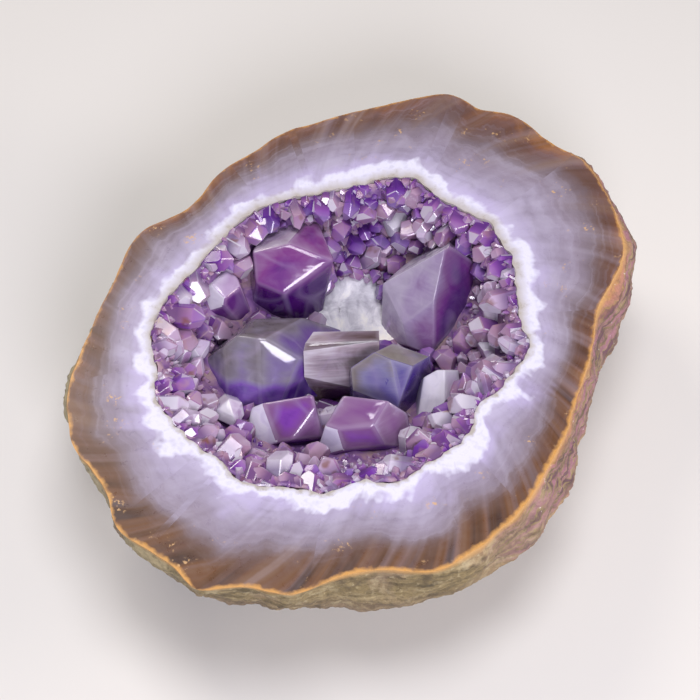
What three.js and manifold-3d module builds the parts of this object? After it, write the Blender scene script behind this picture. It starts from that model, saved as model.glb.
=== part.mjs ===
// Half of an agate geode: a thick banded shell, sawn level across its widest part, with a
// hollow lined by a crust of amethyst crystals. Millimetres, +Z up. It stands on a small flat
// under the shell, at z = 0, and its cut face is level at the top.
import * as THREE from "three";
import { ConvexGeometry } from "three/addons/geometries/ConvexGeometry.js";
import { ImprovedNoise } from "three/addons/math/ImprovedNoise.js";
import { mergeVertices } from "three/addons/utils/BufferGeometryUtils.js";
import Module from "manifold-3d";

const wasm = await Module();
wasm.setup();

// Driving dimensions
const FACE_HEIGHT = 48; // the cut face above the table
const NODULE_DEPTH = 53; // how deep the underside would be without the flat that it stands on
const HOLLOW_DEPTH = 30; // the hollow's floor below the cut face
const CRUST_GAP = 0.35; // clearance between the shell and the crust
const CRUST_THICKNESS = 2.6;
const UNDERSIDE_ROUNDNESS = 2.1; // 2 is an ellipse, more is a squarer bowl
const HOLLOW_ROUNDNESS = { sides: 2.1, change: 0.65 }; // steep far wall, sloping near wall

// Stations round the stone, and the depths of the rows of points below the cut face.
const SHELL_COLUMNS = 96;
const RIND_ROWS = [0, 2.5, 6.5, 12, 18, 25, 32, 38, 43, FACE_HEIGHT];
const HOLLOW_ROWS = [0, 5, 12, 19, 25, 28.5];
const DRUSE_COLUMNS = 60;
const DRUSE_ROWS = [0, 4.5, 9.5, 15, 20.5, 25];

// The edge of the cut face, seen from above: x to the right, y away from the viewer.
const FACE_EDGE = [
  [61, 1], [63, 7], [66, 13], [70, 22], [69, 31], [68, 37], [63, 50], [60, 54], [52, 59],
  [48, 64], [42, 69], [35, 69], [31, 73], [26, 76], [21, 75], [13, 73], [6, 71], [-1, 69],
  [-11, 65], [-19, 62], [-27, 55], [-36, 48], [-40, 41], [-45, 35], [-54, 30], [-58, 25],
  [-60, 18], [-64, 6], [-67, -4], [-71, -23], [-69, -31], [-69, -35], [-61, -45], [-59, -49],
  [-56, -59], [-48, -64], [-41, -69], [-38, -75], [-27, -73], [-16, -76], [-12, -75],
  [-1, -70], [8, -69], [18, -70], [27, -65], [33, -60], [39, -54], [45, -45], [52, -31],
  [55, -21], [59, -10],
];

// The edge of the hollow in the cut face.
const HOLLOW_EDGE = [
  [41, 12], [41, 20], [38, 26], [35, 32], [30, 35], [22, 40], [17, 46], [11, 47], [1, 44],
  [-7, 42], [-15, 40], [-24, 37], [-31, 31], [-36, 24], [-41, 17], [-47, 9], [-50, 2],
  [-51, -4], [-49, -15], [-49, -22], [-45, -28], [-40, -34], [-32, -40], [-27, -46],
  [-21, -47], [-14, -47], [-6, -49], [1, -45], [9, -46], [17, -41], [23, -37], [29, -30],
  [30, -24], [36, -20], [41, -12], [44, -8], [42, 2],
];

// Where the rind swells out below the cut face: towards an azimuth, over a half width.
const SWELLS = [
  { azimuth: -48, halfWidth: 45, amount: 7, depth: 30 },
  { azimuth: 20, halfWidth: 34, amount: 8, depth: 24 },
  { azimuth: 188, halfWidth: 18, amount: 4, depth: 26 },
];
const WORN_ROUND_BY = 20; // how far down the corners of the face's edge have gone
const WORN_COLUMNS = 6; // columns to either side that share a worn corner
const LUMPS = { size: 15, height: 3.6 }; // broad lumps of the rind
const CHIPS = { size: 7, height: 1.8, pattern: 9 }; // small ledges and pits on them
const ROUGH_FROM = { rim: 8, foot: [-1, 6] }; // the lumps fade out towards the rim and the foot

// Large crystals. heart is a point inside one: mm right, away, and up from the cut face. Each
// facet is a plane: the azimuth that it faces, its slope, where 0 is level, 90 is upright and
// more overhangs, and its distance from the heart.
const LARGE_CRYSTALS = {
  backLeft: {
    heart: [-17, 21.5, -14],
    facets: [
      [-90, 35, 6.5], [115, 30, 12.5], [40, 22, 12], [-110, 95, 5.5], [-60, 88, 4.5],
      [-170, 85, 9.5], [160, 80, 12], [15, 100, 10.5], [90, 75, 17],
    ],
  },
  backRight: {
    heart: [21.5, 17, -14],
    facets: [
      [-125, 45, 3], [-45, 62, 2], [-105, 55, 3], [-145, 77, 8.5], [130, 55, 10.5], [155, 98, 14.5],
      [90, 75, 16], [10, 88, 12.5], [-40, 95, 7], [-115, 112, 13.5], [40, 55, 13.5],
    ],
  },
  left: {
    heart: [-27, -2.5, -14],
    facets: [
      [85, 38, 8.5], [30, 38, 10.5], [-108, 52, 5], [-85, 50, 6], [-50, 72, 11.5], [-150, 70, 7],
      [178, 90, 12.5], [138, 60, 7.5], [100, 98, 13], [15, 90, 27], [-86, 134, 11],
    ],
  },
  middle: {
    heart: [-3.5, -3.5, -14],
    facets: [
      [95, 20, 9], [-85, 65, 3.5], [-90, 28, 7.5], [160, 100, 7], [90, 90, 5.5], [0, 90, 10],
      [-95, 95, 5],
    ],
  },
  rightOfMiddle: {
    heart: [10.5, -7.5, -14],
    facets: [
      [40, 32, 8], [-92, 60, 6], [-78, 58, 6], [125, 68, 7.5], [-35, 85, 5], [80, 88, 6],
      [-170, 90, 11.5], [-105, 96, 7.5],
    ],
  },
  frontLeft: {
    heart: [-17.5, -21.5, -14],
    facets: [
      [-113, 30, 2.5], [-60, 60, 5], [-138, 50, 3.5], [165, 88, 9.5], [95, 80, 5.5], [10, 82, 9],
      [-80, 113, 4.5],
    ],
  },
  front: {
    heart: [1.5, -21.5, -14],
    facets: [
      [-110, 20, 7.5], [-92, 60, 7], [-110, 66, 8], [-50, 50, 8.5], [80, 90, 3], [148, 88, 6],
      [5, 85, 12.5], [-85, 104, 7],
    ],
  },
  paleLeft: {
    heart: [-36, 19, -11],
    facets: [
      [140, 52, 2.5], [-10, 20, 5.5], [-125, 65, 5.5], [20, 80, 6], [-40, 82, 7], [-95, 100, 7],
      [190, 95, 4], [130, 80, 7],
    ],
  },
  whiteRight: {
    heart: [20, -12.5, -14],
    facets: [
      [-145, 43, 2], [-20, 57, 5], [88, 57, 6.5], [175, 82, 3], [-45, 116, 3.2], [0, 85, 7],
      [118, 68, 5],
    ],
  },
  lilacRight: {
    heart: [37, 8.5, -10],
    facets: [
      [-135, 40, 2], [-45, 56, 2], [92, 54, 3.5], [185, 95, 3.5], [-70, 115, 2], [20, 74, 4.5],
    ],
  },
};
const LARGE_ROOT = 17; // how far a large crystal reaches down below its heart

// Middling crystals, each by its tip's place as above, the way that it points, and its size.
const MIDDLING_CRYSTALS = [
  { tip: [5.5, 44, -8.5], lean: 62, towards: -105, twist: 0, radius: 4.2, length: 11 },
  { tip: [11.5, 38, -11], lean: 58, towards: -95, twist: 20, radius: 4.2, length: 12 },
  { tip: [18.5, 43, -6], lean: 40, towards: -90, twist: 40, radius: 3.2, length: 10 },
  { tip: [-30, -22, -9], lean: 45, towards: -70, twist: 15, radius: 3.4, length: 11 },
  { tip: [33, -1, -11], lean: 45, towards: 205, twist: 30, radius: 4, length: 12 },
];

// The druse: the points of small crystals, side by side over the whole wall. A point stands
// between a least and a greatest height, and its corners stray from their rows.
const DRUSE = {
  height: [2, 4.6],
  bareHeight: 0.3,
  lean: 1.1,
  straying: { turn: 0.25, depth: 0.9, inset: 0.6 },
  seed: 7,
};

// Small crystals that stand clear of the druse, in rows down the wall.
const SMALL_CRYSTALS = {
  depths: [3.5, 12],
  spacing: 17,
  radius: [2.3, 3.4],
  length: [7, 9.5],
  unevenness: [0.75, 1],
  sunk: 2,
  straying: { lean: 25, place: 0.6, depth: 1 },
  clearOfLarge: 1.5,
  seed: 20,
};
const BARE_FLOOR = { centre: [1, 19], radius: 9, deeperThan: 20 };
const TIP_SLOPE = 51.8; // a tip facet of quartz to its base
const EVEN = [1, 1, 1, 1, 1, 1];

// How finely an outline is sampled, and how near counts as the same.
const OUTLINE = { samplesPerCorner: 24, stations: 720 };
const WALL_STEP = { azimuth: 0.02, depth: 0.3 };
const SAME_POINT = 0.02;
const SAME_VERTEX = 1e-4;
const ON_PLANE = 1e-5;
const NO_CORNER = 1e-6;

const noise = new ImprovedNoise();
const radians = THREE.MathUtils.degToRad;
const azimuthOf = (i, n) => (2 * Math.PI * i) / n;
const polar = (radius, azimuth, z) =>
  new THREE.Vector3(radius * Math.cos(azimuth), radius * Math.sin(azimuth), z);
const facing = (azimuth, slope) =>
  polar(Math.sin(radians(slope)), radians(azimuth), Math.cos(radians(slope)));

// Repeatable random numbers between two values.
function randomFrom(seed) {
  let state = seed;
  return (least, greatest) => {
    state = (state * 16807) % 2147483647;
    return least + ((greatest - least) * state) / 2147483647;
  };
}

// A smooth closed outline as a function: the distance from the centre to it at an azimuth.
function outlineThrough(points) {
  const corners = points.map(([x, y]) => new THREE.Vector3(x, y, 0));
  const curve = new THREE.CatmullRomCurve3(corners, true, "centripetal");
  const samples = curve.getPoints(points.length * OUTLINE.samplesPerCorner);
  const { stations } = OUTLINE;
  const radii = new Array(stations).fill(0);
  const step = (2 * Math.PI) / stations;
  for (let i = 1; i < samples.length; i++) {
    const [a, b] = [samples[i - 1], samples[i]];
    let from = Math.atan2(a.y, a.x);
    let to = Math.atan2(b.y, b.x);
    if (to - from > Math.PI) from += 2 * Math.PI;
    if (from - to > Math.PI) to += 2 * Math.PI;
    const last = Math.floor(Math.max(from, to) / step);
    for (let k = Math.ceil(Math.min(from, to) / step); k <= last; k++) {
      const share = to === from ? 0 : (k * step - from) / (to - from);
      radii[((k % stations) + stations) % stations] = a.clone().lerp(b, share).length();
    }
  }
  return (azimuth) => {
    const place = THREE.MathUtils.euclideanModulo(azimuth / step, stations);
    const before = Math.floor(place);
    return THREE.MathUtils.lerp(radii[before], radii[(before + 1) % stations], place - before);
  };
}

// The same outline with its corners worn round: the mean radius over a stretch of azimuths.
const wornRound = (outline) => (azimuth) => {
  let sum = 0;
  for (let k = -WORN_COLUMNS; k <= WORN_COLUMNS; k++)
    sum += outline(azimuth + azimuthOf(k, SHELL_COLUMNS));
  return sum / (2 * WORN_COLUMNS + 1);
};

const faceEdge = outlineThrough(FACE_EDGE);
const wornEdge = wornRound(faceEdge);
const hollowEdge = outlineThrough(HOLLOW_EDGE);

// How much narrower a bowl is at a share of its full depth.
const narrowing = (share, roundness) =>
  Math.pow(Math.max(0, 1 - Math.pow(share, roundness)), 1 / roundness);

function swelling(azimuth, depth) {
  let out = 0;
  for (const s of SWELLS) {
    const away = THREE.MathUtils.euclideanModulo(azimuth - s.azimuth + 180, 360) - 180;
    if (Math.abs(away) >= s.halfWidth || depth >= s.depth) continue;
    const across = Math.cos((Math.PI / 2) * (away / s.halfWidth));
    out += s.amount * across * Math.sin((Math.PI * depth) / s.depth);
  }
  return out;
}

function roughness(p) {
  const lump = noise.noise(p.x / LUMPS.size, p.y / LUMPS.size, p.z / LUMPS.size);
  const chip = noise.noise(p.x / CHIPS.size, p.y / CHIPS.size, p.z / CHIPS.size + CHIPS.pattern);
  return lump * LUMPS.height - Math.abs(chip) * CHIPS.height;
}

const ringOf = (columns, pointAt) =>
  Array.from({ length: columns }, (_, i) => pointAt(azimuthOf(i, columns), i));

function rindPoint(azimuth, depth) {
  const z = FACE_HEIGHT - depth;
  const wear = THREE.MathUtils.smoothstep(depth, 0, WORN_ROUND_BY);
  const edge = THREE.MathUtils.lerp(faceEdge(azimuth), wornEdge(azimuth), wear);
  const r = edge * narrowing(depth / NODULE_DEPTH, UNDERSIDE_ROUNDNESS);
  const fromRim = THREE.MathUtils.smoothstep(depth, 0, ROUGH_FROM.rim);
  const fromFoot = THREE.MathUtils.smoothstep(z, ...ROUGH_FROM.foot);
  const rough = fromRim * fromFoot * roughness(polar(r, azimuth, z));
  return polar(r + swelling(THREE.MathUtils.radToDeg(azimuth), depth) + rough, azimuth, z);
}

// A point of the hollow's wall, or of a layer on it.
function hollowPoint(azimuth, depth, inset) {
  const share = Math.min(depth / HOLLOW_DEPTH, 1);
  const roundness = HOLLOW_ROUNDNESS.sides + HOLLOW_ROUNDNESS.change * Math.sin(azimuth);
  const r = (hollowEdge(azimuth) - inset) * narrowing(share, roundness);
  return polar(r, azimuth, FACE_HEIGHT - share * (HOLLOW_DEPTH - inset));
}

const hollowRing = (columns, depth, inset) =>
  ringOf(columns, (azimuth) => hollowPoint(azimuth, depth, inset));

// Joins rings of points, of the same count each, into triangles. Their faces point outwards
// when the rings run anticlockwise and each lies below or inside the last.
function stitch(rings, tris) {
  for (let r = 1; r < rings.length; r++) {
    const n = rings[r].length;
    for (let i = 0; i < n; i++) {
      const j = (i + 1) % n;
      tris.push([rings[r - 1][i], rings[r][i], rings[r][j]]);
      tris.push([rings[r - 1][i], rings[r][j], rings[r - 1][j]]);
    }
  }
}

function cap(ring, centre, tris, upwards) {
  ring.forEach((p, i) => {
    const q = ring[(i + 1) % ring.length];
    tris.push(upwards ? [p, q, centre] : [q, p, centre]);
  });
}

function geometryOf(tris) {
  const positions = tris.flat().flatMap((p) => [...p]);
  const g = new THREE.BufferGeometry();
  g.setAttribute("position", new THREE.Float32BufferAttribute(positions, 3));
  return g;
}

function solidOf(geometry) {
  const bare = geometry.index ? geometry.toNonIndexed() : geometry.clone();
  bare.deleteAttribute("normal");
  bare.deleteAttribute("uv");
  const merged = mergeVertices(bare, SAME_VERTEX);
  const vertProperties = merged.attributes.position.array;
  const triVerts = new Uint32Array(merged.index.array);
  return new wasm.Manifold(new wasm.Mesh({ numProp: 3, vertProperties, triVerts }));
}

function geometryFrom(solid) {
  const mesh = solid.getMesh();
  const g = new THREE.BufferGeometry();
  g.setAttribute("position", new THREE.BufferAttribute(new Float32Array(mesh.vertProperties), 3));
  g.setIndex(new THREE.BufferAttribute(new Uint32Array(mesh.triVerts), 1));
  return g.toNonIndexed();
}

// The shell, from the level cut face down the rind to its foot, and down the hollow's wall.
function shellGeometry() {
  const rind = RIND_ROWS.map((depth) => ringOf(SHELL_COLUMNS, (a) => rindPoint(a, depth)));
  const hollow = HOLLOW_ROWS.map((depth) => hollowRing(SHELL_COLUMNS, depth, 0));
  const tris = [];
  stitch(rind, tris);
  cap(rind.at(-1), new THREE.Vector3(0, 0, 0), tris, false);
  stitch([hollow[0], rind[0]], tris);
  stitch(hollow.toReversed(), tris);
  cap(hollow.at(-1), new THREE.Vector3(0, 0, FACE_HEIGHT - HOLLOW_DEPTH), tris, true);
  return geometryOf(tris);
}

// The space in the hollow that the crust may fill, as a solid.
function spaceForCrust() {
  const rings = HOLLOW_ROWS.map((depth) => hollowRing(SHELL_COLUMNS, depth, CRUST_GAP));
  const tris = [];
  cap(rings[0], new THREE.Vector3(0, 0, FACE_HEIGHT), tris, true);
  stitch(rings, tris);
  const floor = FACE_HEIGHT - HOLLOW_DEPTH + CRUST_GAP;
  cap(rings.at(-1), new THREE.Vector3(0, 0, floor), tris, false);
  return solidOf(geometryOf(tris));
}

const onBareFloor = (p) =>
  FACE_HEIGHT - p.z > BARE_FLOOR.deeperThan &&
  Math.hypot(p.x - BARE_FLOOR.centre[0], p.y - BARE_FLOOR.centre[1]) < BARE_FLOOR.radius;

// The open space over the druse. Each cell between two rows is a four-sided crystal point.
function spaceOverDruse() {
  const random = randomFrom(DRUSE.seed);
  const layer = CRUST_GAP + CRUST_THICKNESS;
  const { turn, depth: sink, inset } = DRUSE.straying;
  const stray = () => random(-DRUSE.lean, DRUSE.lean);
  const step = azimuthOf(1, DRUSE_COLUMNS);
  const rings = DRUSE_ROWS.map((depth, row) =>
    ringOf(DRUSE_COLUMNS, (azimuth) => {
      if (row === 0) return hollowPoint(azimuth, depth, layer);
      const turned = azimuth + step * random(-turn, turn);
      return hollowPoint(turned, depth + random(-sink, sink), layer + random(-inset, inset));
    }),
  );
  const tris = [];
  cap(rings[0], new THREE.Vector3(0, 0, FACE_HEIGHT), tris, true);
  for (let row = 1; row < rings.length; row++)
    for (let i = 0; i < DRUSE_COLUMNS; i++) {
      const j = (i + 1) % DRUSE_COLUMNS;
      const cell = [rings[row - 1][i], rings[row][i], rings[row][j], rings[row - 1][j]];
      const point = cell.reduce((sum, p) => sum.add(p), new THREE.Vector3()).divideScalar(4);
      const inwards = cell[0].clone().sub(cell[2]).cross(cell[1].clone().sub(cell[3])).normalize();
      const height = onBareFloor(point) ? DRUSE.bareHeight : random(...DRUSE.height);
      point.addScaledVector(inwards, -height);
      point.add(new THREE.Vector3(stray(), stray(), stray()));
      cap(cell, point, tris, true);
    }
  const floor = FACE_HEIGHT - HOLLOW_DEPTH + layer;
  cap(rings.at(-1), new THREE.Vector3(0, 0, floor), tris, false);
  return solidOf(geometryOf(tris));
}

// The flat-faced solid inside a set of planes.
function solidInside(planes) {
  const corners = [];
  const m = new THREE.Matrix3();
  for (let i = 0; i < planes.length; i++)
    for (let j = i + 1; j < planes.length; j++)
      for (let k = j + 1; k < planes.length; k++) {
        const [a, b, c] = [planes[i], planes[j], planes[k]];
        m.set(...a.normal, ...b.normal, ...c.normal);
        if (Math.abs(m.determinant()) < NO_CORNER) continue;
        const p = new THREE.Vector3(-a.constant, -b.constant, -c.constant);
        p.applyMatrix3(m.invert());
        const known = corners.some((corner) => corner.distanceTo(p) < SAME_POINT);
        const inside = planes.every((plane) => plane.distanceToPoint(p) < ON_PLANE);
        if (inside && !known) corners.push(p);
      }
  return solidOf(new ConvexGeometry(corners));
}

const planeThrough = (normal, point) => new THREE.Plane().setFromNormalAndCoplanarPoint(normal, point);

function largeCrystalPlanes({ heart, facets }) {
  const [x, y, up] = heart;
  const middle = new THREE.Vector3(x, y, FACE_HEIGHT + up);
  return [...facets, [0, 180, LARGE_ROOT]].map(([azimuth, slope, distance]) => {
    const normal = facing(azimuth, slope);
    return planeThrough(normal, middle.clone().addScaledVector(normal, distance));
  });
}

// A crystal of quartz from its tip down: its tip facets, six sides, and a flat foot. uneven
// gives each side its own share of the full radius.
function quartzPlanes(tip, axis, { radius, length, twist, tipFacets = 6, uneven = EVEN }) {
  const upright = new THREE.Vector3(0, 0, 1);
  const turn = new THREE.Quaternion().setFromUnitVectors(upright, axis);
  const place = (normal, up, out) => {
    const turned = normal.clone().applyQuaternion(turn);
    const point = tip.clone().addScaledVector(axis, up).addScaledVector(turned, out);
    return planeThrough(turned, point);
  };
  const planes = [place(new THREE.Vector3(0, 0, -1), -length, 0)];
  uneven.forEach((share, k) => {
    planes.push(place(facing(twist + 60 * k, 90), 0, radius * share));
  });
  for (let k = 0; k < tipFacets; k++)
    planes.push(place(facing(twist + (360 / tipFacets) * k, TIP_SLOPE), 0, 0));
  return planes;
}

function middlingCrystal(crystal) {
  const [x, y, up] = crystal.tip;
  const tip = new THREE.Vector3(x, y, FACE_HEIGHT + up);
  return solidInside(quartzPlanes(tip, facing(crystal.towards, crystal.lean), crystal));
}

// Small crystals stand square to the wall but for a stray lean, and clear of the large ones.
function smallCrystals(largePlanes) {
  const { straying, clearOfLarge, sunk, seed } = SMALL_CRYSTALS;
  const random = randomFrom(seed);
  const stray = () => radians(random(-straying.lean, straying.lean));
  const layer = CRUST_GAP + CRUST_THICKNESS;
  const hidden = (p) =>
    largePlanes.some((planes) => planes.every((plane) => plane.distanceToPoint(p) < clearOfLarge));
  const solids = [];
  for (const depth of SMALL_CRYSTALS.depths) {
    const around = 2 * Math.PI * hollowPoint(0, depth, layer).setZ(0).length();
    const count = Math.round(around / SMALL_CRYSTALS.spacing);
    for (let i = 0; i < count; i++) {
      const azimuth = azimuthOf(i + random(0, straying.place), count);
      const foot = hollowPoint(azimuth, depth + random(-straying.depth, straying.depth), layer);
      const here = hollowPoint(azimuth, depth, layer);
      const along = hollowPoint(azimuth + WALL_STEP.azimuth, depth, layer).sub(here);
      const down = hollowPoint(azimuth, depth + WALL_STEP.depth, layer).sub(here);
      const axis = along.clone().cross(down).normalize();
      axis.applyAxisAngle(along.normalize(), stray());
      axis.applyAxisAngle(new THREE.Vector3(0, 0, 1), stray());
      const crystal = {
        radius: random(...SMALL_CRYSTALS.radius),
        length: random(...SMALL_CRYSTALS.length),
        twist: random(0, 60),
        tipFacets: 3,
        uneven: EVEN.map(() => random(...SMALL_CRYSTALS.unevenness)),
      };
      const tip = foot.clone().addScaledVector(axis, crystal.length - sunk);
      if (hidden(tip) || onBareFloor(foot)) continue;
      solids.push(solidInside(quartzPlanes(tip, axis, crystal)));
    }
  }
  return solids;
}

// The crust: the druse on the wall, with all the crystals grown from it as one.
function crustGeometry() {
  const room = spaceForCrust();
  const largePlanes = Object.values(LARGE_CRYSTALS).map(largeCrystalPlanes);
  const crystals = [
    ...largePlanes.map(solidInside),
    ...MIDDLING_CRYSTALS.map(middlingCrystal),
    ...smallCrystals(largePlanes),
  ];
  let crust = room.subtract(spaceOverDruse());
  for (const crystal of crystals) crust = crust.add(crystal.intersect(room));
  // Pockets that crystals shut in between them are left solid.
  const [whole] = crust.decompose().sort((a, b) => b.volume() - a.volume());
  return geometryFrom(whole);
}

function stone(name, geometry, colour, roughness) {
  const material = new THREE.MeshStandardMaterial({
    color: colour,
    roughness,
    metalness: 0,
    flatShading: true,
  });
  const mesh = new THREE.Mesh(geometry, material);
  mesh.name = name;
  return mesh;
}

const geode = new THREE.Group();
geode.add(stone("agate_shell", shellGeometry(), 0x9a8fa3, 0.3));
geode.add(stone("amethyst_crust", crustGeometry(), 0x7a4fa0, 0.2));

// The origin is under the middle of the stone's extent.
const extent = new THREE.Box3().setFromObject(geode);
geode.position.set(-(extent.min.x + extent.max.x) / 2, -(extent.min.y + extent.max.y) / 2, 0);

export default geode;
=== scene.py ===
# Half of an agate geode, cut face up: a polished, banded shell with a rough rind, and a hollow
# lined with amethyst crystals. Lengths are in millimetres, and MM turns them into metres.
import math
import random

import bpy
import numpy as np
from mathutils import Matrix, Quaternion, Vector, noise


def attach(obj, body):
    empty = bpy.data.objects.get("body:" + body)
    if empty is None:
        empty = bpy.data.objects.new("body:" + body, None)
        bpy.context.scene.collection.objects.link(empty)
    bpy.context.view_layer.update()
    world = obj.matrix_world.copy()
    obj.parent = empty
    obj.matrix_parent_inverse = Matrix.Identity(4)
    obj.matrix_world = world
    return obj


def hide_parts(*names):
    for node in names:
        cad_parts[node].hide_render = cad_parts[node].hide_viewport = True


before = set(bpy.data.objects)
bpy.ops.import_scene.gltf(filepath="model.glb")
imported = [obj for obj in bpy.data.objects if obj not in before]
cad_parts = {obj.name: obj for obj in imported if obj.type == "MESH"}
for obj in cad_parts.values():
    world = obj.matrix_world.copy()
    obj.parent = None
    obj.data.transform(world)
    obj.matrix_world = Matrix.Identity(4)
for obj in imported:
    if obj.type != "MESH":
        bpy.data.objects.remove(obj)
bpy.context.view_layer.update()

# Camera, floor and lights
# The stone is looked at from in front, 57 degrees above level, through a long lens. It stands
# on a pale matt floor, with large soft lamps over it and a light grey room round it.
MM = 0.001
CUT_HEIGHT = 48
LOOKED_AT = Vector((-2.39, -8.03, CUT_HEIGHT))
CAMERA_ELEVATION = math.radians(57)
CAMERA_DISTANCE = 486.1
LENS = 100
SENSOR = 36
LAMPS = {
    "top_lamp": {"place": (40, -40, 640), "size": 260, "watts": 2.0, "colour": "#fbfaff"},
    "back_lamp": {"place": (-300, 340, 560), "size": 260, "watts": 1.5, "colour": "#fff8ee"},
    "front_lamp": {"place": (120, -620, 520), "size": 300, "watts": 4.2, "colour": "#f6f4ff"},
    "side_lamp": {"place": (640, -60, 200), "size": 220, "watts": 1.7, "colour": "#fff4e8"},
}
FLOOR_WIDTH = 3000


def paint(hex_colour):
    """A colour given as sRGB hex, as linear red, green, blue and alpha."""
    parts = [int(hex_colour[i : i + 2], 16) / 255 for i in (1, 3, 5)]
    linear = [c / 12.92 if c <= 0.04045 else ((c + 0.055) / 1.055) ** 2.4 for c in parts]
    return (*linear, 1)


def add_node(tree, kind, settings=None, inputs=(), stops=()):
    """Adds a node with settings, inputs by order or name, and a ramp's stops: its first output."""
    node = tree.nodes.new("ShaderNode" + kind)
    for name, value in (settings or {}).items():
        setattr(node, name, value)
    for i, (position, colour) in enumerate(stops):
        ramp = node.color_ramp.elements
        stop = ramp[i] if i < 2 else ramp.new(position)
        stop.position = position
        stop.color = paint(colour)
    sockets = [socket for socket in node.inputs if socket.enabled]
    pairs = inputs.items() if isinstance(inputs, dict) else enumerate(inputs)
    for key, value in pairs:
        socket = sockets[key] if isinstance(key, int) else node.inputs[key]
        if isinstance(value, bpy.types.NodeSocket):
            tree.links.new(value, socket)
        elif value is not None:
            socket.default_value = value
    return next((socket for socket in node.outputs if socket.enabled), None)


def new_material(name):
    """An empty material of that name, with its node tree."""
    material = bpy.data.materials.new(name)
    material.use_nodes = True
    material.node_tree.nodes.clear()
    return material, material.node_tree


def spot_in_mm(tree):
    """The place on the stone in millimetres, for patterns to be sized by."""
    place = add_node(tree, "TexCoord").node.outputs["Object"]
    return add_node(tree, "VectorMath", {"operation": "SCALE"}, {"Vector": place, "Scale": 1 / MM})


def bearing_of(tree, spot):
    """The level direction from the stone's middle to a spot."""
    flat_spot = add_node(tree, "VectorMath", {"operation": "MULTIPLY"}, [spot, (1, 1, 0)])
    return add_node(tree, "VectorMath", {"operation": "NORMALIZE"}, [flat_spot])


def stored(tree, name):
    """A value that was stored on the piece's mesh."""
    return add_node(tree, "Attribute", {"attribute_name": name}).node.outputs["Fac"]


def lay_over(tree, colour, layers):
    """A colour with layers laid over it in order, each a mask and its sRGB hex."""
    for mask, shade in layers:
        colour = add_node(tree, "Mix", {"data_type": "RGBA"}, [mask, colour, paint(shade)])
    return colour


bpy.ops.object.select_all(action="DESELECT")
camera_data = bpy.data.cameras.new("camera")
camera_data.lens = LENS
camera_data.sensor_width = SENSOR
camera = bpy.data.objects.new("camera", camera_data)
bpy.context.scene.collection.objects.link(camera)
towards_camera = Vector((0, -math.cos(CAMERA_ELEVATION), math.sin(CAMERA_ELEVATION)))
camera.location = (LOOKED_AT + CAMERA_DISTANCE * towards_camera) * MM
camera.rotation_euler = (math.radians(90) - CAMERA_ELEVATION, 0, 0)
bpy.context.scene.camera = camera
bpy.context.scene.view_settings.view_transform = "Standard"

for lamp_name, lamp in LAMPS.items():
    lamp_data = bpy.data.lights.new(lamp_name, "AREA")
    lamp_data.shape = "DISK"
    lamp_data.size = lamp["size"] * MM
    lamp_data.energy = lamp["watts"]
    lamp_data.color = paint(lamp["colour"])[:3]
    lamp_object = bpy.data.objects.new(lamp_name, lamp_data)
    lamp_object.location = Vector(lamp["place"]) * MM
    lamp_object.rotation_euler = (-lamp_object.location).to_track_quat("-Z", "Y").to_euler()
    bpy.context.scene.collection.objects.link(lamp_object)

room = bpy.data.worlds.new("pale_room")
room.use_nodes = True
room.node_tree.nodes["Background"].inputs["Color"].default_value = paint("#dfe0ea")
room.node_tree.nodes["Background"].inputs["Strength"].default_value = 0.21
bpy.context.scene.world = room

bpy.ops.mesh.primitive_plane_add(size=FLOOR_WIDTH * MM)
floor = bpy.context.active_object
floor.name = "floor"
matt_board, tree = new_material("matt_board")
board = add_node(tree, "BsdfPrincipled", inputs={"Base Color": paint("#d9d6d2"), "Roughness": 0.85})
add_node(tree, "OutputMaterial", inputs={"Surface": board})
floor.data.materials.append(matt_board)

# Agate shell
# A thick wall of banded chalcedony round the hollow, sawn level and polished on the cut face,
# with the rough rind that it weathered out of the rock with. It starts from the shell's solid,
# which is made finer, and the rind is roughened into ledges, lumps and pits.
FINER = 2
RIND_FINER = 1
LEDGES = {"spacing": 3.1, "height": 0.7, "waver": 3.4, "waver_size": 13}
PITS = {"size": 6.5, "depth": 1.1, "radius": 0.45}
LUMPS = {"size": 8, "height": 1.3}
GRAIN = {"size": 1.4, "height": 0.4}
PATCHES = {"size": 15, "least": 0.15}
FOOT_HEIGHT = 3.0
RIM_FADE = 2.5
NICKS = {"size": 3.2, "depth": 0.75, "fades_over": 7}
CHIPPED_EDGE = {"size": 4.5, "depth": 0.35, "fades_over": 3}
SAME_LEVEL = 0.05
NEAR_BEARING = 0.12
RIM_WIDTH = 0.9
SMOOTH_UNDER = math.radians(50)


def copy_of_node(node_name, piece_name):
    """A new object with a merged copy of a node's mesh, four-sided where it can be, selected."""
    piece = bpy.data.objects.new(piece_name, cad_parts[node_name].data.copy())
    bpy.context.scene.collection.objects.link(piece)
    work_on(piece)
    bpy.ops.object.mode_set(mode="EDIT")
    bpy.ops.mesh.select_all(action="SELECT")
    bpy.ops.mesh.remove_doubles(threshold=0.001 * MM)
    steepest = math.radians(70)
    bpy.ops.mesh.tris_convert_to_quads(face_threshold=steepest, shape_threshold=math.pi)
    bpy.ops.object.mode_set(mode="OBJECT")
    if "custom_normal" in piece.data.attributes:
        piece.data.attributes.remove(piece.data.attributes["custom_normal"])
    if "sharp_face" in piece.data.attributes:
        piece.data.attributes.remove(piece.data.attributes["sharp_face"])
    piece.data.materials.clear()
    return piece


def work_on(piece):
    """Makes a piece the only one selected, and the active one."""
    bpy.ops.object.select_all(action="DESELECT")
    piece.select_set(True)
    bpy.context.view_layer.objects.active = piece


def places_of(mesh):
    """The places of a mesh's vertices in millimetres, as rows of x, y, z."""
    places = np.zeros(len(mesh.vertices) * 3)
    mesh.vertices.foreach_get("co", places)
    return places.reshape(-1, 3) / MM


def put_places(mesh, places):
    """Moves a mesh's vertices to places in millimetres."""
    mesh.vertices.foreach_set("co", (places * MM).ravel())
    mesh.update()


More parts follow.
